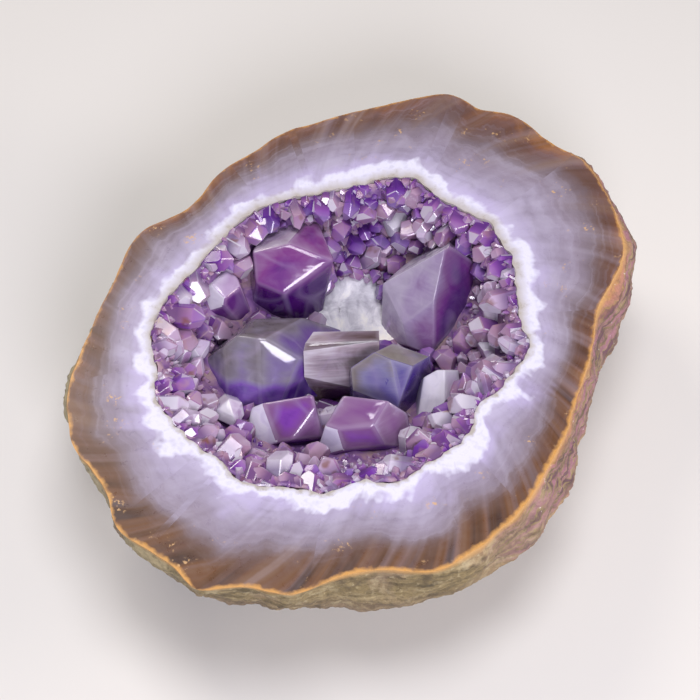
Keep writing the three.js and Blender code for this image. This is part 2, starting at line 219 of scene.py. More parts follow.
def radius_by_azimuth(ring):
    """A function from azimuth to radius along a ring of points round the origin."""
    azimuths = np.arctan2(ring[:, 1], ring[:, 0])
    order = np.argsort(azimuths)
    radii = np.hypot(ring[:, 0], ring[:, 1])[order]
    return lambda azimuth: np.interp(azimuth, azimuths[order], radii, period=2 * math.pi)


def on_cut(places):
    """Which places lie on the level of the cut face."""
    return places[:, 2] > CUT_HEIGHT - 0.01


def store(mesh, name, values, kind="FLOAT", domain="POINT"):
    """Keeps a value for each point or face of a mesh, for its material to read."""
    attribute = mesh.attributes.new(name, kind, domain)
    attribute.data.foreach_set("value", np.asarray(values, dtype=np.float32))


def directions_of(mesh):
    """The way that each vertex of a mesh faces, as rows of x, y, z."""
    normals = np.zeros(len(mesh.vertices) * 3)
    mesh.vertices.foreach_get("normal", normals)
    return normals.reshape(-1, 3)


def make_finer(piece, levels):
    """Subdivides a piece smoothly, and applies it."""
    work_on(piece)
    bpy.ops.object.modifier_add(type="SUBSURF")
    piece.modifiers["Subdivision"].levels = levels
    piece.modifiers["Subdivision"].render_levels = levels
    bpy.ops.object.modifier_apply(modifier="Subdivision")


def select_faces(piece, wanted):
    """Leaves a piece in edit mode with only the faces selected that wanted says yes to."""
    work_on(piece)
    bpy.ops.object.mode_set(mode="EDIT")
    bpy.ops.mesh.select_mode(type="FACE")
    bpy.ops.mesh.select_all(action="DESELECT")
    bpy.ops.object.mode_set(mode="OBJECT")
    for polygon in piece.data.polygons:
        polygon.select = bool(wanted(polygon))
    bpy.ops.object.mode_set(mode="EDIT")


shell = copy_of_node("agate_shell", "banded_shell")
mesh = shell.data
places = places_of(mesh)
level = on_cut(places)
distance_out = np.hypot(places[:, 0], places[:, 1])
face_ring = places[level]
ring_radii = distance_out[level]
bearings = np.arctan2(face_ring[:, 1], face_ring[:, 0])
# A point of the cut face is on its outer edge when it is further out than the mean of its
# neighbours by bearing, and on the hollow's edge when it is nearer.
turns_apart = np.abs((bearings[:, None] - bearings[None, :] + math.pi) % (2 * math.pi) - math.pi)
local_mean = np.array([ring_radii[apart < NEAR_BEARING].mean() for apart in turns_apart])
outer_edge = radius_by_azimuth(face_ring[ring_radii > local_mean])
hollow_edge = radius_by_azimuth(face_ring[ring_radii < local_mean])

# The edges of the cut face stay sharp while the rest is made smoother.
creases = mesh.attributes.new("crease_edge", "FLOAT", "EDGE")
WALL_AT_LEAST = 12
for edge in mesh.edges:
    start, end = edge.vertices
    if level[start] and level[end] and abs(distance_out[start] - distance_out[end]) < WALL_AT_LEAST:
        creases.data[edge.index].value = 1
make_finer(shell, FINER)

places = places_of(mesh)
azimuth = np.arctan2(places[:, 1], places[:, 0])
distance_out = np.hypot(places[:, 0], places[:, 1])
directions = directions_of(mesh)
level = places[:, 2] > CUT_HEIGHT - SAME_LEVEL
looks_out = (directions[:, 0] * places[:, 0] + directions[:, 1] * places[:, 1]) > 0
HOLLOW_FLOOR = 17
in_bowl = (places[:, 2] > HOLLOW_FLOOR) & (distance_out < hollow_edge(azimuth) + 1.0)
in_hollow = ~level & in_bowl & ((directions[:, 2] > 0.3) | ~looks_out)
outside = ~level & ~in_hollow
rim = level & (distance_out > outer_edge(azimuth) - RIM_WIDTH)


def on_rind(polygon):
    corners = polygon.vertices
    return all(outside[v] or rim[v] for v in corners) and any(outside[v] for v in corners)


select_faces(shell, on_rind)
bpy.ops.mesh.subdivide(number_cuts=RIND_FINER, smoothness=0.6)
bpy.ops.object.mode_set(mode="OBJECT")

places = places_of(mesh)
azimuth = np.arctan2(places[:, 1], places[:, 0])
distance_out = np.hypot(places[:, 0], places[:, 1])
directions = directions_of(mesh)
below = CUT_HEIGHT - places[:, 2]
level = below < SAME_LEVEL
rind = np.zeros(len(places), dtype=bool)
for polygon in mesh.polygons:
    if polygon.select:
        for v in polygon.vertices:
            rind[v] = True
rind &= ~level
fade = np.clip(below / RIM_FADE, 0, 1) * np.clip(places[:, 2] / FOOT_HEIGHT, 0, 1)
moved = places.copy()
for i in np.flatnonzero(rind & (fade > 0)):
    at = Vector(places[i])
    waver = noise.noise(at / LEDGES["waver_size"]) * LEDGES["waver"]
    strata = (below[i] + waver) / LEDGES["spacing"]
    ledge = (strata % 1 - 0.5) * LEDGES["height"]
    from_pit = noise.voronoi(at / PITS["size"])[0][0]
    pit = max(0, 1 - from_pit / PITS["radius"]) * PITS["depth"]
    grain = (noise.noise(at / GRAIN["size"]) + noise.noise(at * 2 / GRAIN["size"]) / 2) * GRAIN["height"]
    patch = 0.5 + 1.4 * noise.noise(at / PATCHES["size"] + Vector((5, 1, 2)))
    patch = PATCHES["least"] + (1 - PATCHES["least"]) * min(1, max(0, patch))
    lump = noise.noise(at / LUMPS["size"] + Vector((2, 7, 4))) * LUMPS["height"]
    moved[i] += directions[i] * fade[i] * (ledge * patch - pit * patch + lump + grain)

# The hollow's edge is nicked where crystals have broken away, and the outer edge is chipped.
from_rim = outer_edge(azimuth) - distance_out
from_hollow = distance_out - hollow_edge(azimuth)
for i in range(len(moved)):
    sideways = Vector((places[i][0], places[i][1], 0)).normalized()
    at = Vector(places[i])
    nick = (1 - below[i] / NICKS["fades_over"]) * np.clip(1 - from_hollow[i] / 2, 0, 1)
    if not rind[i] and nick > 0:
        depth = noise.noise(at / NICKS["size"]) + 0.5 * noise.noise(at * 2.3 / NICKS["size"])
        moved[i] += np.array(sideways) * depth * NICKS["depth"] * nick
    chip = (1 - below[i] / CHIPPED_EDGE["fades_over"]) * np.clip(1 - from_rim[i] / 1.5, 0, 1)
    if chip > 0 and from_hollow[i] > 5:
        depth = noise.noise(at / CHIPPED_EDGE["size"]) - 0.3
        moved[i] += np.array(sideways) * depth * CHIPPED_EDGE["depth"] * chip
put_places(mesh, moved)

store(mesh, "from_rim", np.where(level, np.clip(from_rim, 0, None), 0))
store(mesh, "from_hollow", np.where(level, np.clip(from_hollow, 0, None), 0))
store(mesh, "below_rim", below)
work_on(shell)
bpy.ops.object.shade_smooth_by_angle(angle=SMOOTH_UNDER)
# The saw left the cut face's edges crisp.
select_faces(shell, lambda polygon: all(level[v] for v in polygon.vertices))
bpy.ops.mesh.region_to_loop()
bpy.ops.mesh.mark_sharp()
bpy.ops.object.mode_set(mode="OBJECT")

# Polished chalcedony: cloudy and half clear, so that its bands run softly into each other. Iron
# has stained its outside brown, then it is grey-lilac, lavender, and white where it turns to
# quartz round the hollow. The polish gives it a soft even gloss.
WALL = 27
MEAN_RADIUS = 65
RAY_WIDTH = 4.2
GROWTH_LINE = 1.6
polished_agate, tree = new_material("polished_agate")
spot = spot_in_mm(tree)
bearing = bearing_of(tree, spot)
compass = add_node(tree, "SeparateXYZ", inputs=[bearing]).node.outputs
from_rim = stored(tree, "from_rim")
from_hollow = stored(tree, "from_hollow")
wall = add_node(tree, "Math", {"operation": "ADD"}, [from_rim, from_hollow])
share = add_node(tree, "Math", {"operation": "DIVIDE"}, [from_rim, wall])
near_front = add_node(tree, "MapRange", inputs=[compass["Y"], 0.2, -0.75, 0.0, 1.0])

# Small faults shift the bands between one stretch of the wall and the next, and clouds blur them.
stretch = {"Vector": bearing, "Scale": 2.6, "Randomness": 1.0}
stretch = add_node(tree, "TexVoronoi", inputs=stretch).node.outputs["Color"]
fault = add_node(tree, "SeparateXYZ", inputs=[stretch])
fault = add_node(tree, "Math", {"operation": "MULTIPLY_ADD"}, [fault, 0.09, -0.045])
cloud = add_node(tree, "TexNoise", inputs={"Vector": spot, "Scale": 1 / 17, "Detail": 5.0, "Roughness": 0.6})
cloud = add_node(tree, "Math", {"operation": "MULTIPLY_ADD"}, [cloud, 0.44, -0.22])
shifted = add_node(tree, "Math", {"operation": "ADD"}, [share, fault])
shifted = add_node(tree, "Math", {"operation": "ADD"}, [shifted, cloud])
bands = [
    (0.0, "#8c5e3a"), (0.07, "#764c34"), (0.15, "#66473c"), (0.24, "#6a5450"), (0.34, "#786a72"),
    (0.48, "#8a7d8d"), (0.62, "#968ba0"), (0.76, "#a49ab2"), (0.88, "#b4abc5"), (0.98, "#c8c1d8"),
]
colour = add_node(tree, "ValToRGB", inputs=[shifted], stops=bands)

# Rays cross the brown outer third. They lean, by about as much as they reach in.
negated = add_node(tree, "Math", {"operation": "MULTIPLY"}, [compass["X"], -1.0])
across_ray = add_node(tree, "CombineXYZ", inputs=[compass["Y"], negated, 0.0])
lean = add_node(tree, "Math", {"operation": "MULTIPLY"}, [from_rim, 0.009])
leaning = add_node(tree, "VectorMath", {"operation": "SCALE"}, {"Vector": across_ray, "Scale": lean})
leaning = add_node(tree, "VectorMath", {"operation": "ADD"}, [bearing, leaning])
rays = {"Vector": leaning, "Scale": MEAN_RADIUS / RAY_WIDTH, "Detail": 2.0, "Roughness": 0.5}
ray = add_node(tree, "TexNoise", inputs=rays)
reach = add_node(tree, "Math", {"operation": "MULTIPLY_ADD"}, [ray, 0.34, 0.16])
ray_end = add_node(tree, "Math", {"operation": "DIVIDE"}, [shifted, reach])
near_rim = add_node(tree, "MapRange", inputs=[ray_end, 0.35, 1.3, 1.0, 0.0])
dark_ray = add_node(tree, "MapRange", inputs=[ray, 0.34, 0.52, 0.85, 0.0])
dark_ray = add_node(tree, "Math", {"operation": "MULTIPLY"}, [dark_ray, near_rim])
plainer = add_node(tree, "MapRange", inputs=[near_front, 0.0, 0.7, 0.35, 1.0])
dark_ray = add_node(tree, "Math", {"operation": "MULTIPLY"}, [dark_ray, plainer])
pale_ray = add_node(tree, "MapRange", inputs=[ray, 0.52, 0.72, 0.0, 0.42])
pale_ray = add_node(tree, "Math", {"operation": "MULTIPLY"}, [pale_ray, near_rim])
rusty = add_node(tree, "MapRange", inputs=[shifted, 0.14, 0.42, 0.95, 0.0])
rusty = add_node(tree, "Math", {"operation": "MULTIPLY"}, [rusty, near_front])

# Away from the front the brown lies in soft patches, and faint streaks lean across the whole wall.
brown_patch = {"Vector": spot, "Scale": 1 / 10, "Detail": 3.0, "Distortion": 0.4}
brown_patch = add_node(tree, "TexNoise", inputs=brown_patch)
brown_patch = add_node(tree, "MapRange", inputs=[brown_patch, 0.45, 0.62, 0.0, 0.7])
outer_third = add_node(tree, "MapRange", inputs=[shifted, 0.12, 0.4, 1.0, 0.0])
brown_patch = add_node(tree, "Math", {"operation": "MULTIPLY"}, [brown_patch, outer_third])
STREAK_WIDTH = 5.2
streak_scale = MEAN_RADIUS / STREAK_WIDTH
streak = add_node(tree, "TexNoise", inputs={"Vector": leaning, "Scale": streak_scale, "Detail": 3.0})
pale_streak = add_node(tree, "MapRange", inputs=[streak, 0.5, 0.74, 0.0, 0.24])
dark_streak = add_node(tree, "MapRange", inputs=[streak, 0.5, 0.3, 0.0, 0.22])

# Fine growth lines run with the rim, and white veils drift across them.
across = add_node(tree, "Math", {"operation": "MULTIPLY"}, [shifted, WALL / GROWTH_LINE])
along = add_node(tree, "VectorMath", {"operation": "SCALE"}, {"Vector": bearing, "Scale": 2.2})
layer = add_node(tree, "CombineXYZ", inputs=[0.0, 0.0, across])
layer = add_node(tree, "VectorMath", {"operation": "ADD"}, [along, layer])
line = add_node(tree, "TexNoise", inputs={"Vector": layer, "Scale": 1.0, "Detail": 4.0})
pale_line = add_node(tree, "MapRange", inputs=[line, 0.5, 0.75, 0.0, 0.34])
dark_line = add_node(tree, "MapRange", inputs=[line, 0.3, 0.5, 0.28, 0.0])
veil = {"Vector": spot, "Scale": 1 / 9, "Detail": 5.0, "Distortion": 0.6}
veil = add_node(tree, "TexNoise", inputs=veil)
veil = add_node(tree, "MapRange", inputs=[veil, 0.48, 0.76, 0.0, 0.5])
inner_half = add_node(tree, "MapRange", inputs=[share, 0.2, 0.6, 0.0, 1.0])
veil = add_node(tree, "Math", {"operation": "MULTIPLY"}, [veil, inner_half])

# Specks of iron oxide, about half a millimetre across, lie in loose clusters half way in.
speck = add_node(tree, "TexNoise", inputs={"Vector": spot, "Scale": 1 / 0.9, "Detail": 2.0})
speck = add_node(tree, "MapRange", inputs=[speck, 0.57, 0.66, 0.0, 1.0])
cluster = add_node(tree, "TexNoise", inputs={"Vector": spot, "Scale": 1 / 8, "Detail": 3.0})
cluster = add_node(tree, "MapRange", inputs=[cluster, 0.59, 0.68, 0.0, 0.8])
half_way = add_node(tree, "MapRange", inputs=[share, 0.62, 0.75, 1.0, 0.0])
speck = add_node(tree, "Math", {"operation": "MULTIPLY"}, [speck, cluster])
speck = add_node(tree, "Math", {"operation": "MULTIPLY"}, [speck, half_way])

# The quartz band and its lavender fringe are scalloped, and frayed where streaks cross them. Dirt
# lies along the hollow's edge.
scallop = {"Vector": spot, "Scale": 1 / 9, "Detail": 3.0, "Roughness": 0.5}
scallop = add_node(tree, "TexNoise", inputs=scallop)
scallop = add_node(tree, "Math", {"operation": "MULTIPLY_ADD"}, [scallop, 15.0, -7.5])
frayed = add_node(tree, "Math", {"operation": "MULTIPLY_ADD"}, [streak, -5.0, 2.5])
quartz = add_node(tree, "Math", {"operation": "ADD"}, [from_hollow, scallop])
quartz = add_node(tree, "Math", {"operation": "ADD"}, [quartz, frayed])
fringe = add_node(tree, "MapRange", inputs=[quartz, 4.5, 10.0, 0.8, 0.0])
lilac = add_node(tree, "TexNoise", inputs={"Vector": spot, "Scale": 1 / 11, "Detail": 3.0})
lilac = add_node(tree, "MapRange", inputs=[lilac, 0.46, 0.6, 0.2, 0.75])
fringe = add_node(tree, "Math", {"operation": "MULTIPLY"}, [fringe, lilac])
quartz = add_node(tree, "MapRange", inputs=[quartz, 3.8, 5.3, 0.94, 0.0])
crumb = add_node(tree, "TexNoise", inputs={"Vector": spot, "Scale": 1 / 2.2, "Detail": 4.0})
crumb_out = add_node(tree, "Math", {"operation": "MULTIPLY_ADD"}, [crumb, 4.0, -2.0])
grey_quartz = add_node(tree, "MapRange", inputs=[crumb, 0.52, 0.7, 0.0, 0.6])
grey_quartz = add_node(tree, "Math", {"operation": "MULTIPLY"}, [grey_quartz, quartz])
dirt = add_node(tree, "Math", {"operation": "ADD"}, [from_hollow, crumb_out])
dirty = add_node(tree, "MapRange", inputs=[near_front, 0.0, 0.6, 3.2, 1.3])
dirt = add_node(tree, "MapRange", inputs=[dirt, 0.0, dirty, 0.85, 0.0])
rim_width = add_node(tree, "MapRange", inputs=[near_front, 0.0, 1.0, -0.55, 0.1])
glow = add_node(tree, "Math", {"operation": "MULTIPLY_ADD"}, [crumb_out, 0.6, from_rim])
glow = add_node(tree, "Math", {"operation": "SUBTRACT"}, [glow, rim_width])
glow = add_node(tree, "MapRange", inputs=[glow, 0.15, 1.2, 0.9, 0.0])

layers = [
    (dark_line, "#6c616e"), (pale_line, "#ada5b9"), (veil, "#b8b0c6"), (brown_patch, "#63463a"),
    (rusty, "#66401f"), (dark_ray, "#362015"), (pale_ray, "#8b7466"), (dark_streak, "#6a5c66"),
    (pale_streak, "#b6adc0"), (fringe, "#bdb0da"), (quartz, "#dcdaec"), (grey_quartz, "#b9b5c6"),
    (speck, "#cfa674"), (dirt, "#a59b8c"), (glow, "#d09a55"),
]
colour = lay_over(tree, colour, layers)
polish = add_node(tree, "MapRange", inputs=[crumb, 0.3, 0.7, 0.26, 0.36])
agate = add_node(
    tree,
    "BsdfPrincipled",
    inputs={"Base Color": colour, "Roughness": polish, "IOR": 1.54, "Coat Weight": 0.1},
)
add_node(tree, "OutputMaterial", inputs={"Surface": agate})

# Weathered rind: dull stone in thin strata, olive-grey along the front and cream at the left. At
# the right it has split along rusty and mauve seams with flecks of quartz in them, glossier than the stone
# and painted near white as painted glints.
weathered_rind, tree = new_material("weathered_rind")
spot = spot_in_mm(tree)
below_rim = stored(tree, "below_rim")
bearing = bearing_of(tree, spot)
compass = add_node(tree, "SeparateXYZ", inputs=[bearing]).node.outputs
waver = add_node(tree, "TexNoise", inputs={"Vector": spot, "Scale": 1 / 12, "Detail": 4.0})
depth = add_node(tree, "Math", {"operation": "MULTIPLY_ADD"}, [waver, 9.0, below_rim])
across = add_node(tree, "Math", {"operation": "MULTIPLY"}, [depth, 0.6])
along = add_node(tree, "VectorMath", {"operation": "SCALE"}, {"Vector": bearing, "Scale": 3.5})
layer = add_node(tree, "CombineXYZ", inputs=[0.0, 0.0, across])
layer = add_node(tree, "VectorMath", {"operation": "ADD"}, [along, layer])
strata = {"Vector": layer, "Scale": 1.0, "Detail": 6.0, "Roughness": 0.66}
strata = add_node(tree, "TexNoise", inputs=strata)
crumb = add_node(tree, "TexNoise", inputs={"Vector": spot, "Scale": 1 / 2, "Detail": 5.0, "Roughness": 0.7})
patch = add_node(tree, "TexNoise", inputs={"Vector": spot, "Scale": 1 / 14, "Detail": 5.0})
stone = [
    (0.28, "#50442e"), (0.4, "#6e5f41"), (0.5, "#897751"), (0.6, "#9e8b65"), (0.74, "#bba87d"),
]
colour = add_node(tree, "ValToRGB", inputs=[strata], stops=stone)
seam = add_node(tree, "TexNoise", inputs={"Vector": layer, "Scale": 2.1, "Detail": 4.0})
right_side = add_node(tree, "MapRange", inputs=[compass["X"], 0.35, 0.75, 0.0, 1.0])
left_side = add_node(tree, "MapRange", inputs=[compass["X"], -0.45, -0.85, 0.0, 0.8])
lowest = add_node(tree, "MapRange", inputs=[depth, 13.0, 22.0, 0.0, 0.7])
shaded = add_node(tree, "MapRange", inputs=[crumb, 0.3, 0.52, 0.5, 0.0])
specked = add_node(tree, "MapRange", inputs=[crumb, 0.6, 0.72, 0.0, 0.6])
pink = add_node(tree, "MapRange", inputs=[patch, 0.53, 0.66, 0.0, 0.6])
blotch = {"Vector": spot, "Scale": 1 / 7, "Detail": 7.0, "Roughness": 0.65}
blotch = add_node(tree, "TexNoise", inputs=blotch)
pale_crust = add_node(tree, "MapRange", inputs=[blotch, 0.54, 0.62, 0.0, 0.7])
dark_hollow = add_node(tree, "MapRange", inputs=[blotch, 0.45, 0.36, 0.0, 0.7])
rust = add_node(tree, "MapRange", inputs=[depth, 4.6, 7.4, 0.75, 0.0])
mauve = add_node(tree, "MapRange", inputs=[seam, 0.46, 0.56, 0.0, 0.9])
plum = add_node(tree, "MapRange", inputs=[seam, 0.46, 0.39, 0.0, 0.85])
tan_edge = add_node(tree, "MapRange", inputs=[depth, 15.0, 19.0, 0.0, 0.85])
flaky = add_node(tree, "MapRange", inputs=[depth, 19.0, 27.0, 1.0, 0.0])
# Painted glints: near-white flecks of quartz, which are also made glossier below.
painted_quartz_glint = add_node(tree, "MapRange", inputs=[crumb, 0.66, 0.7, 0.0, 0.9])
right_layers = [
    (mauve, "#9c6a7c"), (plum, "#623a54"), (rust, "#bd8450"), (tan_edge, "#c8a678"), (painted_quartz_glint, "#f0e6e6"),
]
right_colour = lay_over(tree, colour, right_layers)
front_layers = [
    (left_side, "#c8bb98"), (pink, "#9c7f72"), (lowest, "#8c7460"), (pale_crust, "#b9a883"),
    (dark_hollow, "#5b4c38"), (specked, "#cfbf98"),
]
colour = lay_over(tree, colour, front_layers)
flaky_side = add_node(tree, "Math", {"operation": "MULTIPLY"}, [right_side, flaky])
colour = add_node(tree, "Mix", {"data_type": "RGBA"}, [flaky_side, colour, right_colour])
# A golden line along the top of the rind: partly iron stain, partly a painted glow of light through the thin
# edge.
edge = add_node(tree, "MapRange", inputs=[below_rim, 0.2, 1.3, 0.85, 0.0])
colour = lay_over(tree, colour, [(shaded, "#4a4234"), (edge, "#c99a5e")])
relief = add_node(tree, "Math", {"operation": "ADD"}, [strata, crumb])
relief = add_node(tree, "Math", {"operation": "ADD"}, [relief, blotch])
bump = add_node(tree, "Bump", inputs={"Height": relief, "Strength": 0.7, "Distance": 0.6 * MM})
dullness = add_node(tree, "MapRange", inputs=[painted_quartz_glint, 0.0, 0.9, 0.66, 0.2])
rough_stone = add_node(
    tree,
    "BsdfPrincipled",
    inputs={"Base Color": colour, "Roughness": dullness, "Normal": bump, "IOR": 1.54},
)
add_node(tree, "OutputMaterial", inputs={"Surface": rough_stone})

mesh.materials.append(polished_agate)
mesh.materials.append(weathered_rind)
for polygon in mesh.polygons:
    polygon.material_index = 1 if any(rind[v] for v in polygon.vertices) else 0
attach(shell, "root")
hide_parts("agate_shell")

# Lining of the hollow
# The quartz that the crystals grew from: a rough skin on the hollow's wall, grey-white and dusty
# at the bare patch of the floor. It is the hollow's wall of the shell, moved in, with a back.
LINING = {"inset": 0.5, "deeper_by": 2.0, "over": 4.0, "lump": 2.4, "lump_height": 0.7, "back": 0.45}
QUARTZ_IOR = 1.544
BARE_FLOOR = {"centre": (-0.4, 19.0), "radius": 11.0, "deeper_than": 18.5}

lining = copy_of_node("agate_shell", "quartz_lining")
mesh = lining.data
places = places_of(mesh)
azimuth = np.arctan2(places[:, 1], places[:, 0])
distance_out = np.hypot(places[:, 0], places[:, 1])
inside = (distance_out < hollow_edge(azimuth) + 0.3) & (places[:, 2] > HOLLOW_FLOOR)
select_faces(lining, lambda polygon: not all(inside[v] for v in polygon.vertices))
bpy.ops.mesh.delete(type="FACE")
bpy.ops.object.mode_set(mode="OBJECT")
make_finer(lining, 2)
places = places_of(mesh)
directions = directions_of(mesh)
deeper = np.clip((CUT_HEIGHT - places[:, 2]) / LINING["over"], 0, 1) * LINING["deeper_by"]
for i in range(len(places)):
    lump = noise.noise(Vector(places[i]) / LINING["lump"]) * LINING["lump_height"]
    places[i] += directions[i] * (LINING["inset"] + deeper[i] + lump)
places[:, 2] = np.minimum(places[:, 2], CUT_HEIGHT - 0.5)
put_places(mesh, places)
wall_faces = [(polygon.center / MM, polygon.normal.copy()) for polygon in mesh.polygons]
work_on(lining)
bpy.ops.object.modifier_add(type="SOLIDIFY")
lining.modifiers["Solidify"].thickness = LINING["back"] * MM
lining.modifiers["Solidify"].offset = -1
bpy.ops.object.modifier_apply(modifier="Solidify")
bpy.ops.object.shade_smooth()

# Massive quartz: cloudy grey-white and dusty where it is bare, with cream where the dust is off,
# and stained violet and brown between the crystals.
cloudy_quartz, tree = new_material("cloudy_quartz")
spot = spot_in_mm(tree)
middle = (BARE_FLOOR["centre"][0], BARE_FLOOR["centre"][1], 24)
away = add_node(tree, "VectorMath", {"operation": "DISTANCE"}, [spot, middle]).node.outputs["Value"]
smudge = {"Vector": spot, "Scale": 1 / 6, "Detail": 6.0, "Roughness": 0.62, "Distortion": 0.5}
smudge = add_node(tree, "TexNoise", inputs=smudge)
ragged = add_node(tree, "Math", {"operation": "MULTIPLY_ADD"}, [smudge, 8.0, away])
bare = add_node(tree, "MapRange", inputs=[ragged, 15.0, 19.0, 1.0, 0.0])
near_viewer = add_node(tree, "SeparateXYZ", inputs=[spot]).node.outputs["Y"]
near_viewer = add_node(tree, "MapRange", inputs=[near_viewer, 26.0, 12.0, -0.12, 0.16])
cream = add_node(tree, "Math", {"operation": "ADD"}, [smudge, near_viewer])
dusty = [(0.3, "#a09ca8"), (0.43, "#c2bfc9"), (0.54, "#e0dde4"), (0.64, "#f4f0ec"), (0.78, "#faf4e8")]
floor_colour = add_node(tree, "ValToRGB", inputs=[cream], stops=dusty)
under = [(0.3, "#5b3a72"), (0.48, "#7f5a90"), (0.62, "#a08090"), (0.75, "#b39a90")]
wall_colour = add_node(tree, "ValToRGB", inputs=[smudge], stops=under)
colour = add_node(tree, "Mix", {"data_type": "RGBA"}, [bare, wall_colour, floor_colour])
bump = add_node(tree, "Bump", inputs={"Height": smudge, "Strength": 0.6, "Distance": 0.8 * MM})
quartz_skin = add_node(
    tree,
    "BsdfPrincipled",
    inputs={"Base Color": colour, "Roughness": 0.42, "Normal": bump, "IOR": QUARTZ_IOR},
)
add_node(tree, "OutputMaterial", inputs={"Surface": quartz_skin})
mesh.materials.append(cloudy_quartz)
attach(lining, "root")
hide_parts("amethyst_crust")

# Large crystals
# Blunt crystals of amethyst stand over the floor, and three paler ones at the sides. Each is cut
# from a block, one facet at a time. A facet is the azimuth that it faces, its slope, where 0 is
# level, 90 upright and more overhangs, its distance from the crystal's heart in millimetres, how
# deep its colour is, from 0 to 1, and how frosted it is.
# A facet's paleness and frost are partly its own colour and partly a painted sheen and painted glints of the
# lamps on it.
STONE_CENTRE = Vector((-1.39, -0.03, 0))
LARGE_ROOT = 17
BLOCK_REACH = 34
EDGE_ROUNDING = 0.8
FACET_CUTS = 8
ZONES_REACH = 14
ZONES_TILT = 0.35
SWELL = {"height": 0.22, "over": 3.0}
HILLOCK = {"size": 2.6, "height": 0.07}
LARGE_CRYSTALS = {
    "back_left": {
        "heart": (-17, 21.5, -14),
        "looks": "deep_amethyst",
        "facets": [
            (-90, 35, 6.5, 0.6, 0.08), (115, 30, 12.5, 0.08, 0.4), (40, 22, 12, 0.36, 0.1),
            (-110, 95, 5.5, 0.72, 0), (-60, 88, 4.5, 0.68, 0), (-170, 85, 9.5, 0.6, 0.1),
            (160, 80, 12, 0.5, 0.2), (15, 100, 10.5, 0.6, 0), (90, 75, 17, 0.1, 0.6),
        ],
    },
    "back_right": {
        "heart": (21.5, 17, -14),
        "looks": "lilac_amethyst",
        "facets": [
            (-125, 45, 3, 0.32, 0.22), (-45, 62, 2, 0.5, 0.05), (-105, 55, 3, 0.35, 0.2),
            (-145, 77, 8.5, 0.25, 0.4), (130, 55, 10.5, 0, 0.9), (155, 98, 14.5, 0.4, 0),
            (90, 75, 16, 0.2, 0.4), (10, 88, 12.5, 0.5, 0), (-40, 95, 7, 0.62, 0),
            (-115, 112, 13.5, 0.5, 0), (40, 55, 13.5, 0.3, 0.3),
        ],
    },
    "left": {
        "heart": (-27, -2.5, -14),
        "looks": "smoky_amethyst",
        "facets": [
            (85, 38, 8.5, 0, 0.15), (30, 38, 10.5, 0.3, 0.05), (-108, 52, 5, 0.25, 0.12),
            (-85, 50, 6, 0.25, 0.1), (-50, 72, 11.5, 0.4, 0), (-150, 70, 7, 0.3, 0.1),
            (178, 90, 12.5, 0.4, 0), (138, 60, 7.5, 0.1, 0.3), (100, 98, 13, 0.3, 0),
            (15, 90, 27, 0.4, 0), (-86, 134, 11, 0.7, 0),
        ],
    },
    "middle": {
        "heart": (-3.5, -3.5, -14),
        "looks": "smoky_quartz",
        "facets": [
            (95, 20, 9, 0.55, 0), (-85, 65, 3.5, 0.32, 0.3), (-90, 28, 7.5, 1, 0),
            (160, 100, 7, 0, 1), (90, 90, 5.5, 0.4, 0), (0, 90, 10, 0.6, 0),
            (-95, 95, 5, 0.8, 0),
        ],
    },
    "right_of_middle": {
        "heart": (10.5, -7.5, -14),
        "looks": "blue_amethyst",
        "facets": [
            (40, 32, 8, 0, 0.1), (-92, 60, 6, 0.34, 0.08), (-78, 58, 6, 0.48, 0),
            (125, 68, 7.5, 0.1, 0.3), (-35, 85, 5, 0.7, 0), (80, 88, 6, 0.5, 0),
            (-170, 90, 11.5, 0.5, 0), (-105, 96, 7.5, 0.75, 0),
        ],
    },
    "front_left": {
        "heart": (-17.5, -21.5, -14),
        "looks": "mauve_amethyst",
        "facets": [
            (-113, 30, 2.5, 0.5, 0), (-60, 60, 5, 0.45, 0.05), (-138, 50, 3.5, 0, 0.95),
            (165, 88, 9.5, 0.1, 0.7), (95, 80, 5.5, 0.3, 0), (10, 82, 9, 0.5, 0),
            (-80, 113, 4.5, 0.5, 0),
        ],
    },
    "front": {
        "heart": (1.5, -21.5, -14),
        "looks": "mauve_amethyst",
        "facets": [
            (-110, 20, 7.5, 0.5, 0), (-92, 60, 7, 0.58, 0.05), (-110, 66, 8, 0, 0.95),
            (-50, 50, 8.5, 0.3, 0), (80, 90, 3, 0.3, 0), (148, 88, 6, 0.3, 0),
            (5, 85, 12.5, 0.5, 0), (-85, 104, 7, 0.8, 0),
        ],
    },
    "pale_left": {
        "heart": (-36, 19, -11),
        "looks": "pale_amethyst",
        "facets": [
            (140, 52, 2.5, 0, 0.6), (-10, 20, 5.5, 0.5, 0.1), (-125, 65, 5.5, 0, 0.9),
            (20, 80, 6, 0.6, 0), (-40, 82, 7, 0.9, 0), (-95, 100, 7, 1, 0), (190, 95, 4, 0.4, 0),
            (130, 80, 7, 0.1, 0.4),
        ],
    },
    "white_right": {
        "heart": (20, -12.5, -14),
        "looks": "pale_amethyst",
        "facets": [
            (-145, 43, 2, 0, 1), (-20, 57, 5, 0.12, 0.4), (88, 57, 6.5, 0.2, 0.4),
            (175, 82, 3, 0, 0.9), (-45, 116, 3.2, 0.3, 0.3), (0, 85, 7, 0.5, 0),
            (118, 68, 5, 0.3, 0.2),
        ],
    },
    "lilac_right": {
        "heart": (37, 8.5, -10),
        "looks": "pale_amethyst",
        "facets": [
            (-135, 40, 2, 0.2, 0.45), (-45, 56, 2, 0.5, 0.1), (92, 54, 3.5, 0.1, 0.6),
            (185, 95, 3.5, 0.6, 0), (-70, 115, 2, 0.9, 0), (20, 74, 4.5, 0.6, 0),
        ],
    },
}
